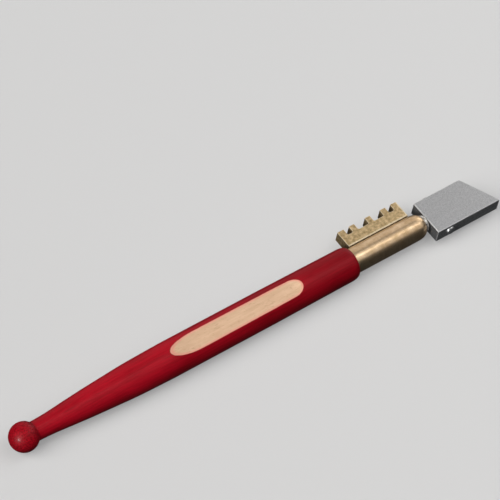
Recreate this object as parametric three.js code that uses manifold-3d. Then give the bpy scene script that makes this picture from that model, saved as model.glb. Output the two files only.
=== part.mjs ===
// Glazier's glass cutter: a turned wooden handle, a brass barrel that carries a
// nibbling comb, and a steel head plate that swivels a little about the tool's axis.
//
// Everything is built in the tool's own frame, in millimetres: X runs along the axis
// from the ball end of the handle (x = 0) to the plate's tip, Y points to the comb's
// teeth and Z is square to the head plate. The last group moves that frame so that
// the origin is under the middle of the tool, at the height of its lowest line.

import * as THREE from 'three';
import { mergeVertices } from 'three/addons/utils/BufferGeometryUtils.js';
import Module from 'manifold-3d';

// ---- Driving dimensions (mm) -------------------------------------------------

const OVERALL_LENGTH = 185;

// Handle
const BALL_RADIUS = 4.8;
const BALL_JOIN_ANGLE = THREE.MathUtils.degToRad(42);
const FLARE = [
  [3.25, 11],
  [3.45, 15],
  [3.95, 21],
  [4.5, 28],
  [5, 36],
  [5.5, 45],
];
const BELLY_RADIUS = 5.8;
const BELLY_START = 58;
const BELLY_END = 96;
const SHOULDER_START = 127.2;
const SHOULDER_RADIUS = 5.6;
const HANDLE_FRONT = 129.8;
const HANDLE_FRONT_RADIUS = 4.75;
const HANDLE_BORE_DEPTH = 24;
const BORE_CHAMFER = 0.4;

// Planed flat on the handle's belly
const FLAT_TURN = THREE.MathUtils.degToRad(11);
const FLAT_HEIGHT = 4.86;
const FLAT_RISE = 0.14;
const FLAT_START = 57.7;
const FLAT_REAR_RUNOUT = 11;
const FLAT_FRONT_RUNOUT = 4.2;
const FLAT_END = 108.9;

// Barrel
const BARREL_RADIUS = 4.2;
const BARREL_REAR = 129.95;
const BARREL_FRONT = 158.2;
const BARREL_NOSE_LENGTH = 3.4;
const BARREL_NOSE_RADIUS = 2.95;
const SPIGOT_RADIUS = 2.8;
const SPIGOT_LENGTH = 23;
const SPIGOT_GROOVES = 4;
const SPIGOT_GROOVE_DEPTH = 0.25;

// Comb
const COMB_REAR = 132.05;
const COMB_LENGTH = 23.8;
const COMB_THICKNESS = 4;
const COMB_ROOT_Y = 2;
const COMB_TIP_Y = 10.4;
const NOTCH_DEPTH = 2.4;
const NOTCH_FILLET = 0.45;
const TOOTH_ROUND = 0.25;
const NOTCHES = [
  { start: 2.55, width: 2.05 },
  { start: 6.75, width: 4.25 },
  { start: 13.1, width: 3.95 },
  { start: 19.25, width: 2.05 },
];
const COMB_PIN_RADIUS = 0.6;
const COMB_PIN_Y = 2.95;
const COMB_PIN_INSET = 5;

// Stem, collar and swivel rivet
const STEM_RADIUS = 1.6;
const STEM_REAR = 138;
const STEM_FRONT = 168;
const SWIVEL_LIMIT = THREE.MathUtils.degToRad(15);
const RIVET_X = 165.2;
const RIVET_RADIUS = 0.8;
const RIVET_HEAD_RADIUS = 1.6;
const RIVET_HEAD_HEIGHT = 0.9;
const COLLAR_REAR = 158.3;
const COLLAR_FRONT = 159.6;
const COLLAR_RADIUS = 2.9;

// Head plate
const PLATE_REAR = 159.84;
const PLATE_WIDTH = 13;
const PLATE_THICKNESS = 5;
const PLATE_SHORT_EDGE = 18.7;
const EDGE_BEVEL = 0.25;

// Diamond and its holder
const HOLDER_RADIUS = 1.2;
const HOLDER_LENGTH = 5.5;
const HOLDER_PROUD = 0.12;
const DIAMOND_RADIUS = 0.48;
const DIAMOND_TIP = 0.3;

// Clearances
const FIT_GAP = 0.06;
const SEAT_GAP = 0.05;

const HANDLE_SEGMENTS = 48;
const BARREL_SEGMENTS = 40;
const SMALL_SEGMENTS = 24;

// ---- Materials ---------------------------------------------------------------

function material(color, roughness, metalness) {
  return new THREE.MeshStandardMaterial({ color, roughness, metalness });
}

// ---- Solids ------------------------------------------------------------------

const wasm = await Module();
wasm.setup();

function toSolid(geometry) {
  const bare = geometry.clone();
  bare.deleteAttribute('normal');
  bare.deleteAttribute('uv');
  const merged = mergeVertices(bare, 1e-5);
  return new wasm.Manifold(new wasm.Mesh({
    numProp: 3,
    vertProperties: new Float32Array(merged.attributes.position.array),
    triVerts: new Uint32Array(merged.index.array),
  }));
}

function toGeometry(solid) {
  const mesh = solid.getMesh();
  const geometry = new THREE.BufferGeometry();
  geometry.setAttribute('position', new THREE.BufferAttribute(mesh.vertProperties, 3));
  geometry.setIndex(new THREE.BufferAttribute(mesh.triVerts, 1));
  geometry.computeVertexNormals();
  return geometry;
}

function cut(geometry, ...cutters) {
  const result = cutters.reduce(
    (solid, cutter) => solid.subtract(toSolid(cutter)),
    toSolid(geometry),
  );
  return toGeometry(result);
}

// A turned shape about the X axis. The outline's points are (radius, x).
function turned(outline, segments) {
  const points = outline.map(([radius, x]) => new THREE.Vector2(radius, x));
  return new THREE.LatheGeometry(points, segments).rotateZ(-Math.PI / 2);
}

function rodAlongX(radius, from, to, segments = SMALL_SEGMENTS) {
  return new THREE.CylinderGeometry(radius, radius, to - from, segments)
    .rotateZ(-Math.PI / 2)
    .translate((from + to) / 2, 0, 0);
}

// Points of a quarter ellipse in (radius, x), from [radius0, x0] to [radius1, x1],
// leaving the first point along the axis.
function roundedShoulder([radius0, x0], [radius1, x1], steps) {
  return Array.from({ length: steps }, (_, i) => {
    const angle = ((i + 1) / steps) * (Math.PI / 2);
    const radius = radius1 + (radius0 - radius1) * Math.cos(angle);
    return [radius, x0 + (x1 - x0) * Math.sin(angle)];
  });
}

// ---- Handle ------------------------------------------------------------------

function handleOutline() {
  const ball = Array.from({ length: 13 }, (_, i) => {
    const angle = Math.PI - (i / 12) * (Math.PI - BALL_JOIN_ANGLE);
    return [BALL_RADIUS * Math.sin(angle), BALL_RADIUS * (1 + Math.cos(angle))];
  });
  ball[0][0] = 0;

  const flare = new THREE.SplineCurve([
    new THREE.Vector2(...ball[ball.length - 1]),
    ...FLARE.map((point) => new THREE.Vector2(...point)),
    new THREE.Vector2(BELLY_RADIUS, BELLY_START),
  ]).getPoints(21).slice(1).map((point) => [point.x, point.y]);

  const taper = [
    [BELLY_RADIUS, BELLY_END],
    [SHOULDER_RADIUS + 0.07, (BELLY_END + SHOULDER_START) / 2],
    [SHOULDER_RADIUS, SHOULDER_START],
  ];
  const shoulder = roundedShoulder(
    [SHOULDER_RADIUS, SHOULDER_START],
    [HANDLE_FRONT_RADIUS, HANDLE_FRONT],
    6,
  );
  const boreRadius = SPIGOT_RADIUS + FIT_GAP;
  const boreBottom = HANDLE_FRONT - HANDLE_BORE_DEPTH;
  const bore = [
    [boreRadius + BORE_CHAMFER, HANDLE_FRONT],
    [boreRadius, HANDLE_FRONT - BORE_CHAMFER],
    [boreRadius, boreBottom],
    [0, boreBottom - boreRadius * 0.58],
  ];
  return [...ball, ...flare, ...taper, ...shoulder, ...bore];
}

// The cutter that planes the flat: its lower edge runs level along the belly, climbs
// a little towards the front, and sweeps up to the surface in a parabola at each end.
function flatCutter() {
  const top = BELLY_RADIUS + 3;
  const climb = BELLY_RADIUS - FLAT_HEIGHT;
  const steps = 8;
  const rearEnd = FLAT_START + FLAT_REAR_RUNOUT;
  const frontEnd = FLAT_END - FLAT_FRONT_RUNOUT;
  const overshoot = 1.5;
  const level = (x) => FLAT_HEIGHT
    + FLAT_RISE * THREE.MathUtils.clamp((x - rearEnd) / (frontEnd - rearEnd), 0, 1);
  const outline = [new THREE.Vector2(FLAT_START - overshoot, top)];
  for (let i = 0; i <= steps; i++) {
    const u = overshoot / FLAT_REAR_RUNOUT;
    const t = -u + (1 + u) * (i / steps);
    const x = FLAT_START + FLAT_REAR_RUNOUT * t;
    outline.push(new THREE.Vector2(x, level(x) + climb * (1 - t) ** 2));
  }
  for (let i = 0; i <= steps; i++) {
    const u = overshoot / FLAT_FRONT_RUNOUT;
    const t = (1 + u) * (i / steps);
    const x = frontEnd + FLAT_FRONT_RUNOUT * t;
    outline.push(new THREE.Vector2(x, level(x) + (climb - FLAT_RISE) * t ** 2));
  }
  outline.push(new THREE.Vector2(FLAT_END + overshoot, top));
  const depth = 4 * BELLY_RADIUS;
  return new THREE.ExtrudeGeometry(new THREE.Shape(outline), { depth, bevelEnabled: false })
    .translate(0, 0, -depth / 2)
    .rotateX(Math.PI / 2 + FLAT_TURN);
}

function handleGeometry() {
  return cut(turned(handleOutline(), HANDLE_SEGMENTS), flatCutter());
}

// ---- Barrel and comb ---------------------------------------------------------

function barrelOutline() {
  const spigotRear = BARREL_REAR - SPIGOT_LENGTH;
  const outline = [
    [0, spigotRear],
    [SPIGOT_RADIUS - 0.3, spigotRear],
    [SPIGOT_RADIUS, spigotRear + 0.3],
  ];
  const pitch = SPIGOT_LENGTH / (SPIGOT_GROOVES + 1);
  for (let i = 1; i <= SPIGOT_GROOVES; i++) {
    const x = spigotRear + i * pitch;
    const floor = SPIGOT_RADIUS - SPIGOT_GROOVE_DEPTH;
    outline.push([SPIGOT_RADIUS, x - 0.7], [floor, x - 0.45]);
    outline.push([floor, x + 0.45], [SPIGOT_RADIUS, x + 0.7]);
  }
  outline.push([SPIGOT_RADIUS, BARREL_REAR], [BARREL_RADIUS, BARREL_REAR]);
  const noseStart = BARREL_FRONT - BARREL_NOSE_LENGTH;
  outline.push([BARREL_RADIUS, noseStart]);
  outline.push(...roundedShoulder(
    [BARREL_RADIUS, noseStart],
    [BARREL_NOSE_RADIUS, BARREL_FRONT],
    6,
  ));
  const boreRadius = STEM_RADIUS + FIT_GAP;
  outline.push(
    [boreRadius, BARREL_FRONT],
    [boreRadius, STEM_REAR - SEAT_GAP],
    [0, STEM_REAR - SEAT_GAP - 1],
  );
  return outline;
}

const combPinXs = [COMB_REAR + COMB_PIN_INSET, COMB_REAR + COMB_LENGTH - COMB_PIN_INSET];

function pinAlongZ(radius, x, y) {
  return new THREE.CylinderGeometry(radius, radius, 3 * BARREL_RADIUS, SMALL_SEGMENTS)
    .rotateX(Math.PI / 2)
    .translate(x, y, 0);
}

function combPinHoles() {
  return combPinXs.map((x) => pinAlongZ(COMB_PIN_RADIUS + SEAT_GAP, x, COMB_PIN_Y));
}

function combSlot() {
  const length = COMB_LENGTH + 2 * SEAT_GAP;
  const height = BARREL_RADIUS;
  return new THREE.BoxGeometry(length, height, COMB_THICKNESS + 2 * SEAT_GAP)
    .translate(
      COMB_REAR + COMB_LENGTH / 2,
      COMB_ROOT_Y - SEAT_GAP + height / 2,
      0,
    );
}

function barrelGeometry() {
  return cut(turned(barrelOutline(), BARREL_SEGMENTS), combSlot(), ...combPinHoles());
}

function combShape() {
  const shape = new THREE.Shape();
  const end = COMB_REAR + COMB_LENGTH;
  const floor = COMB_TIP_Y - NOTCH_DEPTH;
  const right = Math.PI / 2;
  const tip = COMB_TIP_Y - TOOTH_ROUND;
  shape.moveTo(end, COMB_ROOT_Y);
  shape.lineTo(end, tip);
  shape.absarc(end - TOOTH_ROUND, tip, TOOTH_ROUND, 0, right, false);
  for (const notch of [...NOTCHES].reverse()) {
    const low = COMB_REAR + notch.start;
    const high = low + notch.width;
    shape.absarc(high + TOOTH_ROUND, tip, TOOTH_ROUND, right, Math.PI, false);
    shape.absarc(high - NOTCH_FILLET, floor + NOTCH_FILLET, NOTCH_FILLET, 0, -right, true);
    shape.absarc(low + NOTCH_FILLET, floor + NOTCH_FILLET, NOTCH_FILLET, -right, -Math.PI, true);
    shape.absarc(low - TOOTH_ROUND, tip, TOOTH_ROUND, 0, right, false);
  }
  shape.absarc(COMB_REAR + TOOTH_ROUND, tip, TOOTH_ROUND, right, Math.PI, false);
  shape.lineTo(COMB_REAR, COMB_ROOT_Y);
  return shape;
}

// A flat outline in XY given thickness along Z, centred on z = 0, with broken edges.
function slab(shape, thickness, bevel) {
  return new THREE.ExtrudeGeometry(shape, {
    depth: thickness - 2 * bevel,
    bevelThickness: bevel,
    bevelSize: bevel,
    bevelOffset: -bevel,
    bevelSegments: 1,
    curveSegments: 3,
  }).translate(0, 0, -thickness / 2 + bevel);
}

function combGeometry() {
  return cut(slab(combShape(), COMB_THICKNESS, 0.15), ...combPinHoles());
}

// A comb pin is filed flush with the round of the barrel at both ends.
function combPinGeometry(x) {
  const round = rodAlongX(BARREL_RADIUS - 0.03, x - 2, x + 2, BARREL_SEGMENTS);
  return toGeometry(toSolid(pinAlongZ(COMB_PIN_RADIUS, x, COMB_PIN_Y)).intersect(toSolid(round)));
}

// ---- Stem, collar and rivet --------------------------------------------------

function rodAlongY(radius, x) {
  return new THREE.CylinderGeometry(radius, radius, 2 * PLATE_WIDTH, SMALL_SEGMENTS)
    .translate(x, 0, 0);
}

// The stem's cross hole is waisted: it is the rivet's own bore, swept through the swivel.
function stemGeometry() {
  const chamfer = 0.3;
  const stem = turned([
    [0, STEM_REAR],
    [STEM_RADIUS - chamfer, STEM_REAR],
    [STEM_RADIUS, STEM_REAR + chamfer],
    [STEM_RADIUS, STEM_FRONT - chamfer],
    [STEM_RADIUS - chamfer, STEM_FRONT],
    [0, STEM_FRONT],
  ], SMALL_SEGMENTS);
  const steps = 6;
  const sweep = Array.from({ length: steps + 1 }, (_, i) => {
    const angle = SWIVEL_LIMIT * ((2 * i) / steps - 1);
    return rodAlongY(RIVET_RADIUS + FIT_GAP, RIVET_X).rotateX(angle);
  });
  return cut(stem, ...sweep);
}

function collarGeometry() {
  const bore = STEM_RADIUS + FIT_GAP;
  const round = 0.35;
  return turned([
    [bore, COLLAR_REAR],
    [COLLAR_RADIUS - round, COLLAR_REAR],
    ...roundedShoulder([COLLAR_RADIUS, COLLAR_REAR + round], [COLLAR_RADIUS - round, COLLAR_REAR], 3)
      .reverse().slice(1),
    [COLLAR_RADIUS, COLLAR_REAR + round],
    [COLLAR_RADIUS, COLLAR_FRONT - round],
    ...roundedShoulder([COLLAR_RADIUS, COLLAR_FRONT - round], [COLLAR_RADIUS - round, COLLAR_FRONT], 3),
    [bore, COLLAR_FRONT],
    [bore, COLLAR_REAR],
  ], BARREL_SEGMENTS);
}

// A rivet across the plate, with a low domed head at each end.
function rivetGeometry() {
  const face = PLATE_WIDTH / 2 + SEAT_GAP;
  const domeSteps = 5;
  const dome = Array.from({ length: domeSteps + 1 }, (_, i) => {
    const angle = (i / domeSteps) * (Math.PI / 2);
    return [RIVET_HEAD_RADIUS * Math.cos(angle), face + RIVET_HEAD_HEIGHT * Math.sin(angle)];
  });
  dome[domeSteps][0] = 0;
  const half = [[RIVET_RADIUS, face], ...dome];
  const mirrored = half.map(([radius, along]) => [radius, -along]).reverse();
  return turned([...mirrored, ...half], SMALL_SEGMENTS)
    .rotateZ(Math.PI / 2)
    .translate(RIVET_X, 0, 0);
}

// ---- Head plate and diamond --------------------------------------------------

const halfWidth = PLATE_WIDTH / 2;
const frontTip = new THREE.Vector2(OVERALL_LENGTH, -halfWidth);
const frontHeel = new THREE.Vector2(PLATE_REAR + PLATE_SHORT_EDGE, halfWidth);
const frontMiddle = frontTip.clone().add(frontHeel).multiplyScalar(0.5);
const frontEdge = frontHeel.clone().sub(frontTip);
const frontNormalAngle = Math.atan2(-frontEdge.x, frontEdge.y);

// Moves a shape built along +X, with x = 0 on the plate's slanted front, into place.
function onFront(geometry) {
  return geometry.rotateZ(frontNormalAngle).translate(frontMiddle.x, frontMiddle.y, 0);
}

function plateGeometry() {
  const outline = new THREE.Shape([
    new THREE.Vector2(PLATE_REAR, -halfWidth),
    frontTip,
    frontHeel,
    new THREE.Vector2(PLATE_REAR, halfWidth),
  ]);
  const stemBore = rodAlongX(STEM_RADIUS + FIT_GAP, PLATE_REAR - 2, STEM_FRONT + 0.6);
  const rivetHole = rodAlongY(RIVET_RADIUS + SEAT_GAP, RIVET_X);
  const holderHole = onFront(rodAlongX(HOLDER_RADIUS + SEAT_GAP, -HOLDER_LENGTH - SEAT_GAP, 2));
  return cut(slab(outline, PLATE_THICKNESS, EDGE_BEVEL), stemBore, rivetHole, holderHole);
}

function diamondShape(radius) {
  return new THREE.OctahedronGeometry(radius)
    .rotateX(Math.PI / 4)
    .translate(HOLDER_PROUD + DIAMOND_TIP - DIAMOND_RADIUS, 0, 0);
}

function holderGeometry() {
  const chamfer = 0.15;
  const holder = turned([
    [0, -HOLDER_LENGTH],
    [HOLDER_RADIUS - chamfer, -HOLDER_LENGTH],
    [HOLDER_RADIUS, -HOLDER_LENGTH + chamfer],
    [HOLDER_RADIUS, HOLDER_PROUD - chamfer],
    [HOLDER_RADIUS - chamfer, HOLDER_PROUD],
    [0, HOLDER_PROUD],
  ], SMALL_SEGMENTS);
  return onFront(cut(holder, diamondShape(DIAMOND_RADIUS + SEAT_GAP)));
}

// ---- Assembly ----------------------------------------------------------------

const lacqueredWood = material(0xa61f2c, 0.35, 0);
const barrelBrass = material(0xb58f6b, 0.35, 1);
const combBrass = material(0xb9a06f, 0.42, 1);
const pinBrass = material(0xb08c63, 0.4, 1);
const stemSteel = material(0x8e9093, 0.35, 1);
const collarSteel = material(0xc3c3c0, 0.25, 1);
const plateSteel = material(0xa6a7a8, 0.4, 1);
const rivetSteel = material(0xb0b0b0, 0.25, 1);
const holderBronze = material(0xa9763f, 0.45, 1);
const diamondGlass = material(0xe8eef2, 0.05, 0);

const tool = new THREE.Group();
const head = new THREE.Group();
tool.add(head);

function addPart(group, name, geometry, finish) {
  const mesh = new THREE.Mesh(geometry, finish);
  mesh.name = name;
  group.add(mesh);
}

addPart(tool, 'handle', handleGeometry(), lacqueredWood);
addPart(tool, 'barrel', barrelGeometry(), barrelBrass);
addPart(tool, 'comb', combGeometry(), combBrass);
['comb_pin_rear', 'comb_pin_front'].forEach((name, i) => {
  addPart(tool, name, combPinGeometry(combPinXs[i]), pinBrass.clone());
});
addPart(tool, 'swivel_stem', stemGeometry(), stemSteel);
addPart(tool, 'thrust_collar', collarGeometry(), collarSteel);
addPart(head, 'head_plate', plateGeometry(), plateSteel);
addPart(head, 'swivel_rivet', rivetGeometry(), rivetSteel);
addPart(head, 'diamond_holder', holderGeometry(), holderBronze);
addPart(head, 'diamond', onFront(diamondShape(DIAMOND_RADIUS)), diamondGlass);

// The origin sits under the middle of the tool's box, level with the handle's belly.
const lowestY = -(halfWidth + SEAT_GAP + RIVET_HEAD_HEIGHT);
tool.position.set(-OVERALL_LENGTH / 2, -(COMB_TIP_Y + lowestY) / 2, BELLY_RADIUS);

const glassCutter = new THREE.Group();
glassCutter.add(tool);

export default glassCutter;
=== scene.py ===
import math

import bmesh
import bpy
from mathutils import Matrix, Vector


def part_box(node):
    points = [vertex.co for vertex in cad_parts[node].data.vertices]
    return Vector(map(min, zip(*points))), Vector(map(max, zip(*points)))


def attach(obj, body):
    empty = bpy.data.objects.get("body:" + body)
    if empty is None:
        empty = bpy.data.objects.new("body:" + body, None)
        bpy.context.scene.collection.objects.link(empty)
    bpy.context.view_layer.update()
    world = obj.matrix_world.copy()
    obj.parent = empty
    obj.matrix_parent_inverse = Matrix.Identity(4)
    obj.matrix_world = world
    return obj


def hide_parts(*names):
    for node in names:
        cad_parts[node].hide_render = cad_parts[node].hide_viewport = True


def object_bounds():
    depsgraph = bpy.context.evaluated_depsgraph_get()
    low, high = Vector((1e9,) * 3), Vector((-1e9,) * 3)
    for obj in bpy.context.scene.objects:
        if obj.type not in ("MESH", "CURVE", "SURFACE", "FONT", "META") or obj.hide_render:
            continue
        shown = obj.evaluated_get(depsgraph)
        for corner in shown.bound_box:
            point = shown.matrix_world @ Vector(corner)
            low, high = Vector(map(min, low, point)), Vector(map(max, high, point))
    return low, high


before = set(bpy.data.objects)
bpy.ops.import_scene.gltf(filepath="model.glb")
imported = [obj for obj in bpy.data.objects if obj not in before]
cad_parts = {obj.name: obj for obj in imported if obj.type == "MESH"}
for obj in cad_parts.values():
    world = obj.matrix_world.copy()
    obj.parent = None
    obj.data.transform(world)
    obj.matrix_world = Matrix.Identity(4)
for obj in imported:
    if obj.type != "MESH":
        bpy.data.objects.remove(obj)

# A glazier's glass cutter lying on a pale table: a red lacquered handle with a planed
# flat, a brass barrel with a breaking comb, and a steel head plate on a swivel.
#
# Shapes are drawn in millimetres from the ball end of the handle: x runs along the
# tool's axis, y points to the comb's teeth and z is square to the head plate.

CAD_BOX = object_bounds()
MM = 0.001
WELD = 0.001 * MM
BEVEL_ANGLE = math.radians(35)

# How many sides stand in for a circle.
TURNED_SIDES = 160
COLLAR_SIDES = 120
FLOOR_SIDES = 96
SMALL_SIDES = 72
ROD_SIDES = 48

# ---- Where the CAD puts things -------------------------------------------------


def middle(node):
    low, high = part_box(node)
    return (low + high) / 2


AXIS = middle("thrust_collar")
ORIGIN = Vector((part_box("handle")[0].x, AXIS.y, AXIS.z))


def local_box(node):
    """A CAD node's lowest and highest corner in millimetres from the tool's own origin."""
    low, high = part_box(node)
    return (low - ORIGIN) / MM, (high - ORIGIN) / MM


HANDLE = local_box("handle")
BARREL = local_box("barrel")
COMB = local_box("comb")
COLLAR = local_box("thrust_collar")
PLATE = local_box("head_plate")
RIVET = local_box("swivel_rivet")
STEM = local_box("swivel_stem")

# ---- Shape dimensions (mm) -----------------------------------------------------

# The handle, whose flare from the ball to the belly is given as (x, radius).
BALL_RADIUS = 4.8
BALL_JOIN_ANGLE = math.radians(42)
BELLY_RADIUS = -HANDLE[0].z
FLARE = [(11, 3.25), (15, 3.45), (21, 3.95), (28, 4.5), (36, 5.0), (45, 5.5), (58, BELLY_RADIUS)]
BELLY_END = 96
SHOULDER_START = 127.2
SHOULDER_RADIUS = 5.6
HANDLE_FRONT = HANDLE[1].x
HANDLE_FRONT_RADIUS = 4.75
HANDLE_BORE_RADIUS = 2.86
HANDLE_BORE_DEPTH = 24
BORE_CHAMFER = 0.4
DRILL_POINT = 0.58

# The planed flat: how it is turned about the axis, its floor, and its swept ends.
FLAT_TURN = math.radians(11)
FLAT_HEIGHT = 4.86
FLAT_RISE = 0.14
FLAT_START = 57.7
FLAT_REAR_RUNOUT = 11
FLAT_FRONT_RUNOUT = 4.2
FLAT_END = 108.9
FLAT_OVERSHOOT = 1.5
FLAT_STEPS = 40
FLAT_CUTTER_TOP = BELLY_RADIUS + 4

# The barrel, its spigot and the slot that the comb stands in.
BARREL_RADIUS = BARREL[1].z
BARREL_REAR = 129.95
BARREL_FRONT = BARREL[1].x
BARREL_NOSE_LENGTH = 3.4
BARREL_NOSE_RADIUS = 2.95
BARREL_LIP = 0.12
SPIGOT_REAR = BARREL[0].x
SPIGOT_RADIUS = 2.8
SPIGOT_CHAMFER = 0.3
SLOT_GAP = 0.05
SLOT_CHAMFER = 0.34
SLOT_SLOPE = 0.9

# The comb, whose notches are given as (distance from its rear end, width).
COMB_HALF = COMB[1].z
COMB_BASE = 4.18
TENON_HALF = 1.58
TENON_INSET = 0.45
NOTCH_DEPTH = 2.4
NOTCH_FILLET = 0.45
TOOTH_ROUND = 0.25
NOTCHES = [(2.55, 2.05), (6.75, 4.25), (13.1, 3.95), (19.25, 2.05)]
COMB_CHAMFER = 0.42
TOOTH_CHAMFER_SHARE = 0.4
FRONT_CHAMFER = 0.55
FRONT_SLOPE = 0.5

COMB_PINS = ("comb_pin_rear", "comb_pin_front")
PIN_RADIUS = 0.6
PIN_SUNK = 0.03
PIN_CUT_REACH = 9

STEM_BORE = 1.66
STEM_BORE_SPARE = 0.6
COLLAR_ROUND = 0.42

# ---- Mesh building -------------------------------------------------------------


def catmull_rom(points, steps):
    """A smooth run through the points, with so many steps to each span."""
    ends = [points[0], *points, points[-1]]
    run = [points[0]]
    for a, b, c, d in zip(ends, ends[1:], ends[2:], ends[3:]):
        for i in range(1, steps + 1):
            t = i / steps
            run.append(tuple(
                0.5 * (2 * q + (r - p) * t + (2 * p - 5 * q + 4 * r - s) * t ** 2
                       + (3 * q - p - 3 * r + s) * t ** 3)
                for p, q, r, s in zip(a, b, c, d)
            ))
    return run


def straight(start, end, steps):
    """Points from start to end, without start itself."""
    a, b = Vector(start), Vector(end)
    return [tuple(a.lerp(b, (i + 1) / steps)) for i in range(steps)]


def arc(centre, radius, start, end, steps):
    """Points round a circle from one angle to another, in radians, both ends included."""
    return [
        (centre[0] + radius * math.cos(start + (end - start) * i / steps),
         centre[1] + radius * math.sin(start + (end - start) * i / steps))
        for i in range(steps + 1)
    ]


def quarter(start, end, steps):
    """A quarter ellipse in (x, radius) that leaves start along the axis."""
    (x0, r0), (x1, r1) = start, end
    run = []
    for i in range(1, steps + 1):
        angle = math.pi / 2 * i / steps
        run.append((x0 + (x1 - x0) * math.sin(angle), r1 + (r0 - r1) * math.cos(angle)))
    return run


def lathe(profile, segments, closed=False):
    """Turns a profile of (x, radius) about the axis. A closed profile is a ring's section."""
    bm = bmesh.new()
    rings = []
    for x, radius in profile:
        if radius < 1e-6:
            rings.append([bm.verts.new((x, 0, 0))])
            continue
        turn = [2 * math.pi * i / segments for i in range(segments)]
        rings.append([bm.verts.new((x, radius * math.cos(a), radius * math.sin(a))) for a in turn])
    pairs = list(zip(rings, rings[1:]))
    if closed:
        pairs.append((rings[-1], rings[0]))
    for a, b in pairs:
        for i in range(segments):
            j = (i + 1) % segments
            corners = [a[i % len(a)], b[i % len(b)], b[j % len(b)], a[j % len(a)]]
            face = list(dict.fromkeys(corners))
            if len(face) > 2:
                bm.faces.new(face)
    bmesh.ops.recalc_face_normals(bm, faces=bm.faces)
    return bm


def loft(first, last):
    """A closed solid between two outlines with the same number of points."""
    bm = bmesh.new()
    a = [bm.verts.new(point) for point in first]
    b = [bm.verts.new(point) for point in last]
    bm.faces.new(a)
    bm.faces.new(b)
    for i in range(len(a)):
        j = (i + 1) % len(a)
        bm.faces.new((a[i], a[j], b[j], b[i]))
    bmesh.ops.recalc_face_normals(bm, faces=bm.faces)
    return bm


def prism(outline, low, high):
    """An outline in the x, y plane given thickness from low to high along z."""
    return loft([(x, y, low) for x, y in outline], [(x, y, high) for x, y in outline])


def rod(radius, start, end):
    """A plain round rod between two points, for holes and the pins that fill them."""
    a, b = Vector(start), Vector(end)
    bm = bmesh.new()
    turn = (b - a).to_track_quat("Z", "Y").to_matrix().to_4x4()
    bmesh.ops.create_cone(
        bm, cap_ends=True, segments=ROD_SIDES, radius1=radius, radius2=radius,
        depth=(b - a).length, matrix=Matrix.Translation((a + b) / 2) @ turn,
    )
    return bm


def to_object(name, bm, *materials):
    """A mesh object from millimetres, standing at the tool's own origin."""
    mesh = bpy.data.meshes.new(name)
    bm.to_mesh(mesh)
    bm.free()
    mesh.transform(Matrix.Scale(MM, 4))
    for material in materials:
        mesh.materials.append(material)
    piece = bpy.data.objects.new(name, mesh)
    piece.location = ORIGIN
    bpy.context.scene.collection.objects.link(piece)
    return piece


def bake_modifiers(piece):
    """Turns what the modifiers make into the piece's own mesh."""
    bpy.context.view_layer.update()
    graph = bpy.context.evaluated_depsgraph_get()
    made = bpy.data.meshes.new_from_object(piece.evaluated_get(graph))
    piece.modifiers.clear()
    piece.data = made


def combine(piece, operation, *tools):
    """Cuts or joins the tools' shapes, which are then removed."""
    for tool in tools:
        step = piece.modifiers.new(operation.lower(), "BOOLEAN")
        step.operation = operation
        step.solver = "EXACT"
        step.material_mode = "TRANSFER"
        step.object = tool
    bake_modifiers(piece)
    for tool in tools:
        bpy.data.objects.remove(tool)


def cut(piece, *shapes, material=None):
    """Cuts shapes away. The walls take the material, or else the piece's first."""
    wall = material or piece.data.materials[0]
    combine(piece, "DIFFERENCE", *(to_object("cutter", shape, wall) for shape in shapes))


def bevel(piece, width, segments, weighted=False, edge_wear_and_highlight=None):
    """Rounds the edges. The new faces take the edge material, where there is one: rubbed wear with
    a painted highlight, coloured lighter so the edges show bright.
    """
    step = piece.modifiers.new("bevel", "BEVEL")
    if edge_wear_and_highlight is not None:
        piece.data.materials.append(edge_wear_and_highlight)
        step.material = 1
    step.width = width * MM
    step.segments = segments
    step.limit_method = "WEIGHT" if weighted else "ANGLE"
    step.angle_limit = BEVEL_ANGLE
    step.use_clamp_overlap = False
    bake_modifiers(piece)


def clean(piece):
    """Welds the points that a cut left doubled, and drops the faces with no area."""
    bm = bmesh.new()
    bm.from_mesh(piece.data)
    bmesh.ops.remove_doubles(bm, verts=bm.verts, dist=WELD)
    bmesh.ops.dissolve_degenerate(bm, edges=bm.edges, dist=WELD)
    loose = [v for v in bm.verts if not v.link_faces]
    bmesh.ops.delete(bm, geom=loose, context="VERTS")
    bm.to_mesh(piece.data)
    bm.free()


def finish_piece(piece, body, slot, *nodes, sharp=30):
    """Smooth shading that keeps flats flat, then the piece's body and CAD nodes. The slot is not
    used.
    """
    clean(piece)
    piece.data.shade_smooth()
    piece.data.set_sharp_from_angle(angle=math.radians(sharp))
    step = piece.modifiers.new("flat_faces", "WEIGHTED_NORMAL")
    step.mode = "FACE_AREA"
    step.weight = 100
    step.keep_sharp = True
    bake_modifiers(piece)
    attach(piece, body)
    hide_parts(*nodes)


# ---- Material building ---------------------------------------------------------


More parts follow.
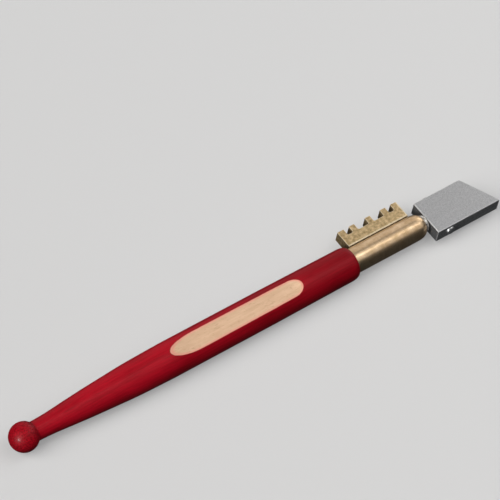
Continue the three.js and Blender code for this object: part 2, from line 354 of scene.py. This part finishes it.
class Finish:
    """A Principled material with short calls for the nodes that feed it."""

    def __init__(self, name, **sockets):
        self.material = bpy.data.materials.new(name)
        self.material.use_nodes = True
        self.tree = self.material.node_tree
        self.shader = self.tree.nodes["Principled BSDF"]
        for socket, value in sockets.items():
            self.shader.inputs[socket.replace("_", " ")].default_value = value
        self.place = self.node("ShaderNodeTexCoord").outputs["Object"]

    def node(self, kind, **settings):
        made = self.tree.nodes.new(kind)
        for name, value in settings.items():
            setattr(made, name, value)
        return made

    def feed(self, socket, source):
        if isinstance(source, bpy.types.NodeSocket):
            self.tree.links.new(source, socket)
        else:
            socket.default_value = source

    def set(self, socket, source):
        self.feed(self.shader.inputs[socket], source)

    def stretched(self, scale):
        """The object's own coordinates, scaled along each axis."""
        mapping = self.node("ShaderNodeMapping")
        self.feed(mapping.inputs["Vector"], self.place)
        mapping.inputs["Scale"].default_value = scale
        return mapping.outputs["Vector"]

    def parts(self):
        """The place's X, Y and Z, in metres from the tool's origin."""
        made = self.node("ShaderNodeSeparateXYZ")
        self.feed(made.inputs["Vector"], self.place)
        return made.outputs

    def radius(self):
        """The distance from the tool's axis."""
        parts = self.parts()
        squares = [self.math("POWER", parts[axis], 2.0) for axis in ("Y", "Z")]
        return self.math("SQRT", self.math("ADD", *squares))

    def round_axis(self, along, outward):
        """Coordinates for turned parts: distance along the axis, and the distance from it."""
        joined = self.node("ShaderNodeCombineXYZ")
        self.feed(joined.inputs["X"], self.math("MULTIPLY", self.parts()["X"], along))
        self.feed(joined.inputs["Y"], self.math("MULTIPLY", self.radius(), outward))
        return joined.outputs["Vector"]

    def math(self, operation, a, b=0.0):
        made = self.node("ShaderNodeMath", operation=operation)
        self.feed(made.inputs[0], a)
        self.feed(made.inputs[1], b)
        return made.outputs["Value"]

    def blend(self, a, b, share):
        """Two patterns added together, with this share of the first."""
        rest = self.math("MULTIPLY", b, 1 - share)
        return self.math("ADD", self.math("MULTIPLY", a, share), rest)

    def noise(self, vector, detail=4.0, roughness=0.55):
        made = self.node("ShaderNodeTexNoise")
        self.feed(made.inputs["Vector"], vector)
        made.inputs["Scale"].default_value = 1.0
        made.inputs["Detail"].default_value = detail
        made.inputs["Roughness"].default_value = roughness
        return made.outputs["Fac"]

    def ranged(self, source, low, high, to_low=0.0, to_high=1.0):
        """Runs smoothly from to_low to to_high while the source runs from low to high."""
        made = self.node("ShaderNodeMapRange", interpolation_type="SMOOTHSTEP")
        self.feed(made.inputs["Value"], source)
        for name, value in zip(("From Min", "From Max", "To Min", "To Max"),
                               (low, high, to_low, to_high)):
            made.inputs[name].default_value = value
        return made.outputs["Result"]

    def ramp(self, source, *stops):
        """A colour ramp through stops of (position, colour)."""
        made = self.node("ShaderNodeValToRGB")
        self.feed(made.inputs["Fac"], source)
        elements = made.color_ramp.elements
        while len(elements) < len(stops):
            elements.new(0.5)
        for element, (position, colour) in zip(elements, stops):
            element.position = position
            element.color = (*colour, 1)
        return made.outputs["Color"]

    def mix(self, factor, a, b, blend="MIX"):
        made = self.node("ShaderNodeMix", data_type="RGBA", blend_type=blend)
        self.feed(made.inputs["Factor"], factor)
        self.feed(made.inputs[6], (*a, 1) if isinstance(a, tuple) else a)
        self.feed(made.inputs[7], (*b, 1) if isinstance(b, tuple) else b)
        return made.outputs[2]

    def bump(self, height, distance, strength, after=None):
        made = self.node("ShaderNodeBump")
        made.inputs["Strength"].default_value = strength
        made.inputs["Distance"].default_value = distance
        self.feed(made.inputs["Height"], height)
        if after is not None:
            self.feed(made.inputs["Normal"], after)
        return made.outputs["Normal"]


# Colours are linear.
RED_DEEP = (0.16, 0.0006, 0.003)
RED_LIGHT = (0.44, 0.003, 0.014)
RED_SHADE = (0.50, 0.32, 0.40)
WOOD_PALE = (0.78, 0.53, 0.35)
WOOD_WARM = (0.66, 0.42, 0.26)
WOOD_FLECK = (0.42, 0.21, 0.11)
WOOD_STAIN = (0.80, 0.34, 0.25)
DIAMOND_GREY = (0.78, 0.82, 0.86)
DIAMOND_CLEAR = (0.97, 0.98, 1.0)

# Grains, in noise cells to the metre along x, y and z.
LACQUER_FIBRES = (70, 2600, 2600)
LACQUER_POOLS = (60, 170, 170)
END_GRAIN = (2300, 2300, 2300)
FLAT_FIBRES = (70, 1300, 1300)
FLAT_PATCHES = (260, 600, 600)
FLAT_FLECKS = (700, 5200, 5200)
FLAT_MARGIN = (500, 900, 900)
TARNISH = (320, 420, 420)
STAINS = (900, 1100, 1100)
MILLED_GRAIN = (900, 9000, 9000)
GROUND_GRAIN = (2400, 3600, 3600)
STONE_HAZE = (3000, 3000, 3000)
# The same for turned metal, along the axis and out from it.
TURNED_LINES = (9000, 3000)

# Where along x the lacquer thickens, and where the ball ends.
SHADE_RUN = (45 * MM, 125 * MM)
BALL_EDGE = (7.8 * MM, 9.2 * MM)
# How far from the axis the flat's margin is stained, and where its red line starts.
STAIN_RUN = (5.46 * MM, 5.72 * MM)
RED_LINE = (5.79 * MM, 5.83 * MM)


def lacquered_wood():
    """Red lacquer over fine beech grain, thicker and deeper towards the front."""
    f = Finish("lacquered_wood", Specular_IOR_Level=0.10, Coat_Weight=0.05, Coat_Roughness=0.18)
    fibres = f.noise(f.stretched(LACQUER_FIBRES), detail=6, roughness=0.6)
    pooled = f.noise(f.stretched(LACQUER_POOLS), detail=3)
    colour = f.ramp(f.blend(fibres, pooled, 0.55), (0.22, RED_DEEP), (0.60, RED_LIGHT))
    along = f.parts()["X"]
    colour = f.mix(f.ranged(along, *SHADE_RUN, 0.0, 0.62), colour, RED_SHADE, "MULTIPLY")
    end_grain = f.noise(f.stretched(END_GRAIN), detail=2)
    on_ball = f.ranged(along, *BALL_EDGE, 1.0, 0.0)
    speckle = f.math("MULTIPLY", f.ranged(end_grain, 0.44, 0.60), on_ball)
    f.set("Base Color", f.mix(f.math("MULTIPLY", speckle, 0.75), colour, RED_DEEP))
    f.set("Roughness", f.ranged(pooled, 0.3, 0.7, 0.40, 0.50))
    rippled = f.bump(fibres, 0.03 * MM, 0.5)
    f.set("Normal", f.bump(speckle, 0.04 * MM, 0.6, rippled))
    return f.material


def bare_wood():
    """The planed flat: pale beech with short flecks, stained red where the lacquer ends."""
    f = Finish("bare_wood", Specular_IOR_Level=0.25)
    fibres = f.noise(f.stretched(FLAT_FIBRES), detail=7, roughness=0.62)
    patches = f.noise(f.stretched(FLAT_PATCHES), detail=3)
    colour = f.ramp(f.blend(fibres, patches, 0.6), (0.36, WOOD_WARM), (0.62, WOOD_PALE))
    flecks = f.ranged(f.noise(f.stretched(FLAT_FLECKS), detail=1), 0.64, 0.72)
    colour = f.mix(f.math("MULTIPLY", flecks, 0.6), colour, WOOD_FLECK)
    ragged = f.math("MULTIPLY", f.noise(f.stretched(FLAT_MARGIN)), 0.08 * MM)
    edge = f.math("ADD", f.radius(), ragged)
    colour = f.mix(f.ranged(edge, *STAIN_RUN), colour, WOOD_STAIN)
    f.set("Base Color", f.mix(f.ranged(edge, *RED_LINE), colour, RED_DEEP))
    f.set("Roughness", f.ranged(fibres, 0.3, 0.7, 0.55, 0.7))
    f.set("Normal", f.bump(fibres, 0.08 * MM, 0.5))
    return f.material


def turned_metal(name, dark, light, roughness):
    """Metal from a lathe: fine lines round the axis, and cloudy patches of tarnish."""
    f = Finish(name, Metallic=1.0)
    rings = f.noise(f.round_axis(*TURNED_LINES), detail=3)
    tone = f.blend(rings, f.noise(f.stretched(TARNISH), detail=5), 0.3)
    f.set("Base Color", f.ramp(tone, (0.35, dark), (0.65, light)))
    f.set("Roughness", f.ranged(tone, 0.3, 0.7, roughness + 0.05, roughness - 0.05))
    f.set("Normal", f.bump(rings, 0.006 * MM, 0.6))
    return f.material


def milled_metal(name, dark, light, roughness, grain=MILLED_GRAIN, grain_share=0.35,
                 metallic=1.0):
    """Metal with a milled or ground grain. A scuffed one is less metallic: it scatters more."""
    f = Finish(name, Metallic=metallic)
    lines = f.noise(f.stretched(grain), detail=4)
    tone = f.blend(lines, f.noise(f.stretched(STAINS), detail=5), grain_share)
    f.set("Base Color", f.ramp(tone, (0.35, dark), (0.65, light)))
    f.set("Roughness", f.ranged(tone, 0.3, 0.7, roughness + 0.06, roughness - 0.06))
    f.set("Normal", f.bump(lines, 0.008 * MM, 0.7))
    return f.material


def clear_diamond():
    f = Finish("diamond", Roughness=0.04, Transmission_Weight=0.85, IOR=2.4)
    haze = f.noise(f.stretched(STONE_HAZE), detail=3)
    f.set("Base Color", f.ramp(haze, (0.3, DIAMOND_GREY), (0.7, DIAMOND_CLEAR)))
    f.set("Normal", f.bump(haze, 0.004 * MM, 0.4))
    return f.material


# Name: dark colour, light colour, roughness.
TURNED = {
    "barrel_brass": ((0.52, 0.345, 0.185), (0.80, 0.59, 0.375), 0.33),
    "pin_brass": ((0.56, 0.40, 0.25), (0.70, 0.51, 0.34), 0.38),
    "stem_steel": ((0.36, 0.36, 0.37), (0.50, 0.50, 0.51), 0.36),
    "collar_steel": ((0.50, 0.48, 0.44), (0.68, 0.65, 0.61), 0.32),
    "rivet_steel": ((0.42, 0.42, 0.42), (0.56, 0.56, 0.56), 0.42),
    "holder_bronze": ((0.40, 0.24, 0.11), (0.55, 0.35, 0.18), 0.38),
}
# The same, and then the grain, its share of the pattern and how metallic it is.
MILLED = {
    # Near-black brass: painted shade on the slot's walls and on the comb's tenon.
    "slot_shade_brass": ((0.07, 0.04, 0.02), (0.16, 0.10, 0.05), 0.6),
    "comb_brass": ((0.36, 0.245, 0.11), (0.82, 0.62, 0.355), 0.46),
    # Lighter brass for the comb's edges: rubbed wear and a painted highlight.
    "rubbed_and_highlit_brass": ((0.62, 0.50, 0.32), (0.80, 0.68, 0.47), 0.5, MILLED_GRAIN, 0.35, 0.5),
    "plate_steel": ((0.38, 0.38, 0.385), (0.64, 0.64, 0.645), 0.42, GROUND_GRAIN, 0.75),
    # Lighter steel for the plate's edges: rubbed wear and a painted highlight.
    "rubbed_and_highlit_steel": ((0.50, 0.50, 0.50), (0.66, 0.66, 0.66), 0.45, MILLED_GRAIN, 0.35, 0.6),
}
MATERIALS = {
    "lacquered_wood": lacquered_wood(),
    "bare_wood": bare_wood(),
    "diamond": clear_diamond(),
    **{name: turned_metal(name, *look) for name, look in TURNED.items()},
    **{name: milled_metal(name, *look) for name, look in MILLED.items()},
}

# ---- Handle --------------------------------------------------------------------


def handle_profile():
    ball = arc((BALL_RADIUS, 0), BALL_RADIUS, math.pi, BALL_JOIN_ANGLE, 34)
    ball[0] = (0, 0)
    flare = catmull_rom([ball[-1], *FLARE], 12)[1:]
    belly = straight(flare[-1], (BELLY_END, BELLY_RADIUS), 38)
    taper = straight(belly[-1], (SHOULDER_START, SHOULDER_RADIUS), 30)
    shoulder = quarter(taper[-1], (HANDLE_FRONT, HANDLE_FRONT_RADIUS), 12)
    bottom = HANDLE_FRONT - HANDLE_BORE_DEPTH
    bore = [
        (HANDLE_FRONT, HANDLE_BORE_RADIUS + BORE_CHAMFER),
        (HANDLE_FRONT - BORE_CHAMFER, HANDLE_BORE_RADIUS),
        (bottom, HANDLE_BORE_RADIUS),
        (bottom - HANDLE_BORE_RADIUS * DRILL_POINT, 0),
    ]
    return [*ball, *flare, *belly, *taper, *shoulder, *bore]


def flat_cutter():
    """What the plane took off: its floor runs level and sweeps up at both ends."""
    climb = BELLY_RADIUS - FLAT_HEIGHT
    rear_end = FLAT_START + FLAT_REAR_RUNOUT
    front_end = FLAT_END - FLAT_FRONT_RUNOUT
    floor = []
    spare = FLAT_OVERSHOOT / FLAT_REAR_RUNOUT
    for i in range(FLAT_STEPS + 1):
        t = (i / FLAT_STEPS) * (1 + spare) - spare
        floor.append((FLAT_START + FLAT_REAR_RUNOUT * t, FLAT_HEIGHT + climb * (1 - t) ** 2))
    floor += straight(floor[-1], (front_end, FLAT_HEIGHT + FLAT_RISE), 4)
    for i in range(1, FLAT_STEPS + 1):
        t = (i / FLAT_STEPS) * (1 + FLAT_OVERSHOOT / FLAT_FRONT_RUNOUT)
        height = FLAT_HEIGHT + FLAT_RISE + (climb - FLAT_RISE) * t ** 2
        floor.append((front_end + FLAT_FRONT_RUNOUT * t, height))
    outline = [*floor, (floor[-1][0], FLAT_CUTTER_TOP), (floor[0][0], FLAT_CUTTER_TOP)]
    bm = prism(outline, -2 * BELLY_RADIUS, 2 * BELLY_RADIUS)
    bmesh.ops.rotate(bm, verts=bm.verts, matrix=Matrix.Rotation(math.pi / 2 + FLAT_TURN, 3, "X"))
    return bm


def make_handle():
    bm = lathe(handle_profile(), TURNED_SIDES)
    piece = to_object("turned_handle", bm, MATERIALS["lacquered_wood"])
    cut(piece, flat_cutter(), material=MATERIALS["bare_wood"])
    finish_piece(piece, "grip_body", "lacquered_wood", "handle", sharp=22)


# ---- Barrel, comb and pins -----------------------------------------------------


def barrel_profile():
    nose = BARREL_FRONT - BARREL_NOSE_LENGTH
    lip = (BARREL_REAR + BARREL_LIP, BARREL_RADIUS - BARREL_LIP)
    return [
        (SPIGOT_REAR, 0),
        (SPIGOT_REAR, SPIGOT_RADIUS - SPIGOT_CHAMFER),
        (SPIGOT_REAR + SPIGOT_CHAMFER, SPIGOT_RADIUS),
        (BARREL_REAR, SPIGOT_RADIUS),
        (BARREL_REAR, lip[1]),
        *arc(lip, BARREL_LIP, math.pi, math.pi / 2, 4)[1:],
        *straight((lip[0], BARREL_RADIUS), (nose, BARREL_RADIUS), 24),
        *quarter((nose, BARREL_RADIUS), (BARREL_FRONT, BARREL_NOSE_RADIUS), 16),
        (BARREL_FRONT, STEM_BORE),
        (STEM[0].x - SLOT_GAP, STEM_BORE),
        (STEM[0].x - SLOT_GAP - 1, 0),
    ]


def slot_cutter():
    """The comb's slot, whose long edges open in a chamfer at the barrel's surface."""
    wall = COMB_HALF + SLOT_GAP
    rim = math.sqrt(BARREL_RADIUS ** 2 - wall ** 2)
    start = rim - SLOT_CHAMFER
    top = BARREL_RADIUS + 1
    flare = (top - start) * SLOT_SLOPE
    half = [(COMB[0].y - SLOT_GAP, wall), (start, wall), (top, wall + flare)]
    section = half + [(y, -z) for y, z in reversed(half)]
    rear, front = COMB[0].x - SLOT_GAP, COMB[1].x + SLOT_GAP
    return loft([(rear, y, z) for y, z in section], [(front, y, z) for y, z in section])


def pin_place(name):
    low, high = local_box(name)
    return (low.x + high.x) / 2, (low.y + high.y) / 2


def pin_rod(name, radius):
    """A rod that runs right through the barrel where the CAD has the pin."""
    x, y = pin_place(name)
    return rod(radius, (x, y, -PIN_CUT_REACH), (x, y, PIN_CUT_REACH))


def make_barrel():
    bm = lathe(barrel_profile(), TURNED_SIDES)
    piece = to_object("turned_barrel", bm, MATERIALS["barrel_brass"])
    # The slot's walls take the near-black brass: painted shade in the gap round the comb.
    cut(piece, slot_cutter(), material=MATERIALS["slot_shade_brass"])
    cut(piece, *(pin_rod(name, PIN_RADIUS + SLOT_GAP / 2) for name in COMB_PINS))
    finish_piece(piece, "grip_body", "barrel_brass", "barrel")


def comb_outline():
    start, end, tip = COMB[0].x, COMB[1].x, COMB[1].y
    corner = tip - NOTCH_DEPTH + NOTCH_FILLET
    right = math.pi / 2
    tooth = tip - TOOTH_ROUND
    points = [(start, COMB_BASE)]
    points += arc((start + TOOTH_ROUND, tooth), TOOTH_ROUND, math.pi, right, 5)
    for offset, width in NOTCHES:
        low = start + offset
        high = low + width
        points += arc((low - TOOTH_ROUND, tooth), TOOTH_ROUND, right, 0, 5)
        points += arc((low + NOTCH_FILLET, corner), NOTCH_FILLET, math.pi, 3 * right, 6)
        points += arc((high - NOTCH_FILLET, corner), NOTCH_FILLET, -right, 0, 6)
        points += arc((high + TOOTH_ROUND, tooth), TOOTH_ROUND, math.pi, right, 5)
    points += arc((end - TOOTH_ROUND, tooth), TOOTH_ROUND, right, 0, 5)
    points.append((end, COMB_BASE))
    return points


def front_wedge(side):
    """What a file takes off the comb's front, above or below."""
    x, z, over = COMB[1].x, COMB_HALF, 1
    corners = [
        (x - FRONT_CHAMFER - over, z + over * FRONT_SLOPE),
        (x + over, z - (FRONT_CHAMFER + over) * FRONT_SLOPE),
        (x + over, z + over),
    ]
    bm = prism([(a, side * b) for a, b in corners], -COMB[1].y - over, over)
    bmesh.ops.rotate(bm, verts=bm.verts, matrix=Matrix.Rotation(math.pi / 2, 3, "X"))
    return bm


def make_comb():
    """The toothed bar: its foot has a wide chamfer, and a tenon painted near black as shade goes
    into the slot.

    The edges round its two broad faces are chamfered, and those across its thickness aren't.
    """
    bm = prism(comb_outline(), -COMB_HALF, COMB_HALF)
    weight = bm.edges.layers.float.new("bevel_weight_edge")
    for edge in bm.edges:
        a, b = (v.co for v in edge.verts)
        across = abs(a.z - b.z) > COMB_HALF
        at_base = max(a.y, b.y) < COMB_BASE + WELD / MM
        edge[weight] = 0 if across else 1 if at_base else TOOTH_CHAMFER_SHARE
    piece = to_object("milled_comb", bm, MATERIALS["comb_brass"])
    # The chamfers and the filed front take the lighter brass: rubbed wear and a painted highlight,
    # so the edges show bright.
    bevel(piece, COMB_CHAMFER, 2, weighted=True, edge_wear_and_highlight=MATERIALS["rubbed_and_highlit_brass"])
    cut(piece, front_wedge(1), front_wedge(-1), material=MATERIALS["rubbed_and_highlit_brass"])
    # The tenon is near-black brass: painted shade where the comb sits in the slot.
    rear, front = COMB[0].x + TENON_INSET, COMB[1].x - TENON_INSET
    low, high = COMB[0].y, COMB_BASE + TENON_INSET
    corners = [(rear, low), (front, low), (front, high), (rear, high)]
    tenon = prism(corners, -TENON_HALF, TENON_HALF)
    combine(piece, "UNION", to_object("tenon", tenon, MATERIALS["slot_shade_brass"]))
    finish_piece(piece, "grip_body", "comb_brass", "comb")


def make_pins():
    """Each pin is filed to the barrel's round at both ends."""
    filed = BARREL_RADIUS - PIN_SUNK
    for name in COMB_PINS:
        piece = to_object("filed_" + name, pin_rod(name, PIN_RADIUS), MATERIALS["pin_brass"])
        x = pin_place(name)[0]
        rear, front = x - 2, x + 2
        profile = [(rear, 0), (rear, filed), (front, filed), (front, 0)]
        round_bar = lathe(profile, TURNED_SIDES)
        combine(piece, "INTERSECT", to_object("cutter", round_bar, MATERIALS["pin_brass"]))
        finish_piece(piece, "grip_body", "pin_brass", name)


# ---- Collar and stem -----------------------------------------------------------


def make_collar():
    (rear, _, _), (front, _, radius) = COLLAR
    middle_radius = radius - COLLAR_ROUND
    section = [
        (rear, STEM_BORE),
        *arc((rear + COLLAR_ROUND, middle_radius), COLLAR_ROUND, math.pi, math.pi / 2, 8),
        *arc((front - COLLAR_ROUND, middle_radius), COLLAR_ROUND, math.pi / 2, 0, 8),
        (front, STEM_BORE),
    ]
    bm = lathe(section, COLLAR_SIDES, closed=True)
    piece = to_object("polished_collar", bm, MATERIALS["collar_steel"])
    finish_piece(piece, "grip_body", "collar_steel", "thrust_collar")


def dress_stem():
    """The stem keeps its CAD mesh and gets a better material."""
    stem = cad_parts["swivel_stem"]
    stem.data.materials.clear()
    stem.data.materials.append(MATERIALS["stem_steel"])


# ---- Head plate, rivet and diamond ---------------------------------------------

SHORT_EDGE = 18.7
EDGE_BREAK = 0.24
FRONT_TIP = Vector((PLATE[1].x, PLATE[0].y))
FRONT_HEEL = Vector((PLATE[0].x + SHORT_EDGE, PLATE[1].y))
FRONT_MIDDLE = (FRONT_TIP + FRONT_HEEL) / 2
FRONT_EDGE = FRONT_HEEL - FRONT_TIP
FRONT_NORMAL = Vector((FRONT_EDGE.y, -FRONT_EDGE.x)).normalized()
RIVET_X = (RIVET[0].x + RIVET[1].x) / 2
RIVET_HOLE = 0.85
RIVET_SHANK = 0.8
RIVET_LIFT = 0.05
DOME_STEPS = 12
HOLDER_RADIUS = 1.2
HOLDER_LENGTH = 5.5
HOLDER_PROUD = 0.12
HOLDER_CHAMFER = 0.15
DIAMOND_RADIUS = 0.48
DIAMOND_TIP = 0.3
DIAMOND_EDGE = 0.03


def on_front(bm):
    """Moves a shape built along x, with x = 0 at the slanted front, into place."""
    turn = Matrix.Rotation(math.atan2(FRONT_NORMAL.y, FRONT_NORMAL.x), 4, "Z")
    place = Matrix.Translation(FRONT_MIDDLE.to_3d()) @ turn
    bmesh.ops.transform(bm, verts=bm.verts, matrix=place)
    return bm


def make_plate():
    (rear, low_y, _), (_, high_y, half) = PLATE
    outline = [(rear, low_y), tuple(FRONT_TIP), tuple(FRONT_HEEL), (rear, high_y)]
    piece = to_object("ground_plate", prism(outline, -half, half), MATERIALS["plate_steel"])
    # The broken edges take the lighter steel: rubbed wear and a painted highlight.
    bevel(piece, EDGE_BREAK, 3, edge_wear_and_highlight=MATERIALS["rubbed_and_highlit_steel"])
    stem_bore = rod(STEM_BORE, (rear - 2, 0, 0), (STEM[1].x + STEM_BORE_SPARE, 0, 0))
    rivet_hole = rod(RIVET_HOLE, (RIVET_X, 2 * low_y, 0), (RIVET_X, 2 * high_y, 0))
    holder_hole = on_front(rod(HOLDER_RADIUS + SLOT_GAP, (-HOLDER_LENGTH, 0, 0), (3, 0, 0)))
    cut(piece, stem_bore, rivet_hole, holder_hole)
    finish_piece(piece, "head_body", "plate_steel", "head_plate")


def make_rivet():
    """A rivet across the plate, set to a low dome at each end."""
    reach, radius = RIVET[1].y, RIVET[1].x - RIVET_X
    face = PLATE[1].y + RIVET_LIFT
    dome = [(face + (reach - face) * math.sin(a), radius * math.cos(a))
            for a in (math.pi / 2 * i / DOME_STEPS for i in range(DOME_STEPS))]
    half = [(face, RIVET_SHANK), *dome, (reach, 0)]
    profile = [(-x, r) for x, r in reversed(half)] + half
    bm = lathe(profile, SMALL_SIDES)
    bmesh.ops.rotate(bm, verts=bm.verts, matrix=Matrix.Rotation(math.pi / 2, 3, "Z"))
    bmesh.ops.translate(bm, verts=bm.verts, vec=(RIVET_X, 0, 0))
    piece = to_object("domed_rivet", bm, MATERIALS["rivet_steel"])
    finish_piece(piece, "head_body", "rivet_steel", "swivel_rivet")


def crystal(radius):
    """An eight-sided stone with a point on the x axis, standing proud of the holder."""
    bm = bmesh.new()
    corners = [bm.verts.new(corner) for corner in (
        (radius, 0, 0), (-radius, 0, 0), (0, radius, 0),
        (0, -radius, 0), (0, 0, radius), (0, 0, -radius),
    )]
    for tip in corners[:2]:
        for a, b in ((2, 4), (4, 3), (3, 5), (5, 2)):
            bm.faces.new((tip, corners[a], corners[b]))
    bmesh.ops.recalc_face_normals(bm, faces=bm.faces)
    bmesh.ops.rotate(bm, verts=bm.verts, matrix=Matrix.Rotation(math.pi / 4, 3, "X"))
    forward = HOLDER_PROUD + DIAMOND_TIP - radius
    bmesh.ops.translate(bm, verts=bm.verts, vec=(forward, 0, 0))
    return bm


def make_diamond():
    """The holder with a socket for its stone, and the stone."""
    edge = HOLDER_RADIUS - HOLDER_CHAMFER
    holder = on_front(lathe([
        (-HOLDER_LENGTH, 0),
        (-HOLDER_LENGTH, edge),
        (-HOLDER_LENGTH + HOLDER_CHAMFER, HOLDER_RADIUS),
        *quarter((HOLDER_PROUD - HOLDER_CHAMFER, HOLDER_RADIUS), (HOLDER_PROUD, edge), 5),
        (HOLDER_PROUD, 0),
    ], SMALL_SIDES))
    piece = to_object("diamond_seat", holder, MATERIALS["holder_bronze"])
    cut(piece, on_front(crystal(DIAMOND_RADIUS + SLOT_GAP)))
    finish_piece(piece, "head_body", "holder_bronze", "diamond_holder")
    stone = to_object("diamond_point", on_front(crystal(DIAMOND_RADIUS)), MATERIALS["diamond"])
    bevel(stone, DIAMOND_EDGE, 1)
    finish_piece(stone, "head_body", "diamond", "diamond", sharp=10)


make_handle()
make_barrel()
make_comb()
make_pins()
make_collar()
dress_stem()
make_plate()
make_rivet()
make_diamond()

# ---- Camera, floor and lights --------------------------------------------------

VIEW_AZIMUTH = math.radians(48.08)
VIEW_ELEVATION = math.radians(52.87)
VIEW_ROLL = math.radians(-13.89)
VIEW_DISTANCE = 1.264
VIEW_AIM = ORIGIN + Vector((105.3, 20.2, 0)) * MM
LENS = 292.0
NEAR_CLIP = 0.05

FLOOR_BEND = 1.0
FLOOR_REACH = 2.6
FLOOR_HEIGHT = 3.0
FLOOR_COLOUR = (0.42, 0.42, 0.42, 1)

KEY_TOWARDS = (-0.72, 0.05, 0.69)


def make_camera():
    forward = Vector((
        math.sin(VIEW_AZIMUTH) * math.cos(VIEW_ELEVATION),
        math.cos(VIEW_AZIMUTH) * math.cos(VIEW_ELEVATION),
        -math.sin(VIEW_ELEVATION),
    ))
    level_right = forward.cross(Vector((0, 0, 1))).normalized()
    level_up = level_right.cross(forward)
    up = level_up * math.cos(VIEW_ROLL) + level_right * math.sin(VIEW_ROLL)
    right = forward.cross(up)
    camera = bpy.data.objects.new("camera", bpy.data.cameras.new("camera"))
    camera.data.lens = LENS
    camera.data.clip_start = NEAR_CLIP
    turn = Matrix((right, up, -forward)).transposed().to_4x4()
    camera.matrix_world = Matrix.Translation(VIEW_AIM - forward * VIEW_DISTANCE) @ turn
    bpy.context.scene.collection.objects.link(camera)
    bpy.context.scene.camera = camera


def make_floor():
    """A wide pale table top that curves up into a backdrop all round.

    It neither shows in the metal nor lights the tool, and it glows a little, which keeps
    it evenly pale out to the backdrop.
    """
    start = FLOOR_REACH - FLOOR_BEND
    bend = arc((0, 0), FLOOR_BEND, math.pi / 2, 0, 24)[1:]
    profile = [
        (0, 0),
        *straight((0, 0), (0, start), 6),
        *((FLOOR_BEND - b, start + a) for a, b in bend),
        (FLOOR_HEIGHT, FLOOR_REACH),
    ]
    bm = lathe(profile, FLOOR_SIDES)
    bmesh.ops.rotate(bm, verts=bm.verts, matrix=Matrix.Rotation(-math.pi / 2, 3, "Y"))
    bmesh.ops.reverse_faces(bm, faces=bm.faces)
    mesh = bpy.data.meshes.new("floor")
    bm.to_mesh(mesh)
    bm.free()
    mesh.shade_smooth()
    f = Finish("floor", Roughness=1.0, Specular_IOR_Level=0.0, Emission_Strength=0.26)
    f.set("Base Color", FLOOR_COLOUR)
    f.set("Emission Color", (1, 1, 1, 1))
    mesh.materials.append(f.material)
    floor = bpy.data.objects.new("floor", mesh)
    floor.location.z = CAD_BOX[0].z
    floor.visible_glossy = False
    floor.visible_diffuse = False
    floor.visible_shadow = False
    bpy.context.scene.collection.objects.link(floor)


def soft_light(name, towards, distance, size, radiance, colour=(1, 1, 1), gloss_only=False):
    """A soft panel aimed at the tool: its length runs as near to the x axis as it can.

    Its brightness is a radiance, so that it doesn't change with its size or distance.
    """
    towards = Vector(towards).normalized()
    length, width = size
    light = bpy.data.objects.new(name, bpy.data.lights.new(name, "AREA"))
    light.data.shape = "RECTANGLE"
    light.data.size = length
    light.data.size_y = width
    light.data.energy = radiance * math.pi * length * width
    light.data.color = colour
    across = towards.cross(Vector((1, 0, 0))).normalized()
    turn = Matrix((across.cross(towards), across, towards)).transposed().to_4x4()
    light.matrix_world = Matrix.Translation(towards * distance) @ turn
    light.visible_diffuse = not gloss_only
    bpy.context.scene.collection.objects.link(light)


def make_key():
    """The main light, which is even over the whole floor. key_sheen is its soft reflection."""
    key = bpy.data.objects.new("key", bpy.data.lights.new("key", "SUN"))
    key.data.energy = 2.9
    key.data.angle = 0.85
    key.data.color = (1, 0.98, 0.96)
    key.rotation_mode = "QUATERNION"
    key.rotation_quaternion = Vector(KEY_TOWARDS).to_track_quat("Z", "Y")
    key.visible_glossy = False
    bpy.context.scene.collection.objects.link(key)
    soft_light("key_sheen", KEY_TOWARDS, 1.1, (1.1, 1.1), 1.3, gloss_only=True)


def make_lights():
    soft_light("overhead", (0.45, -0.24, 0.86), 1.0, (1.4, 1.1), 0.78)
    soft_light("strip", (0.45, -0.14, 0.88), 1.0, (0.9, 0.11), 2.75)
    soft_light("behind", (0.41, 0.82, 0.38), 1.1, (1.3, 1.2), 0.78, (1, 0.97, 0.95), True)
    soft_light("head_side", (0.86, 0.38, 0.33), 1.1, (0.5, 0.5), 2.2, gloss_only=True)
    soft_light("ball_side", (-0.92, -0.18, 0.35), 1.0, (0.2, 0.2), 90.0, gloss_only=True)
    soft_light("near_side", (0.23, -0.85, 0.48), 1.1, (0.25, 0.25), 0.5, gloss_only=True)
    make_key()
    world = bpy.data.worlds.new("studio")
    world.use_nodes = True
    background = world.node_tree.nodes["Background"]
    background.inputs["Color"].default_value = (0.9, 0.95, 1, 1)
    background.inputs["Strength"].default_value = 0.04
    bpy.context.scene.world = world


make_camera()
make_floor()
make_lights()
bpy.context.scene.view_settings.view_transform = "Standard"
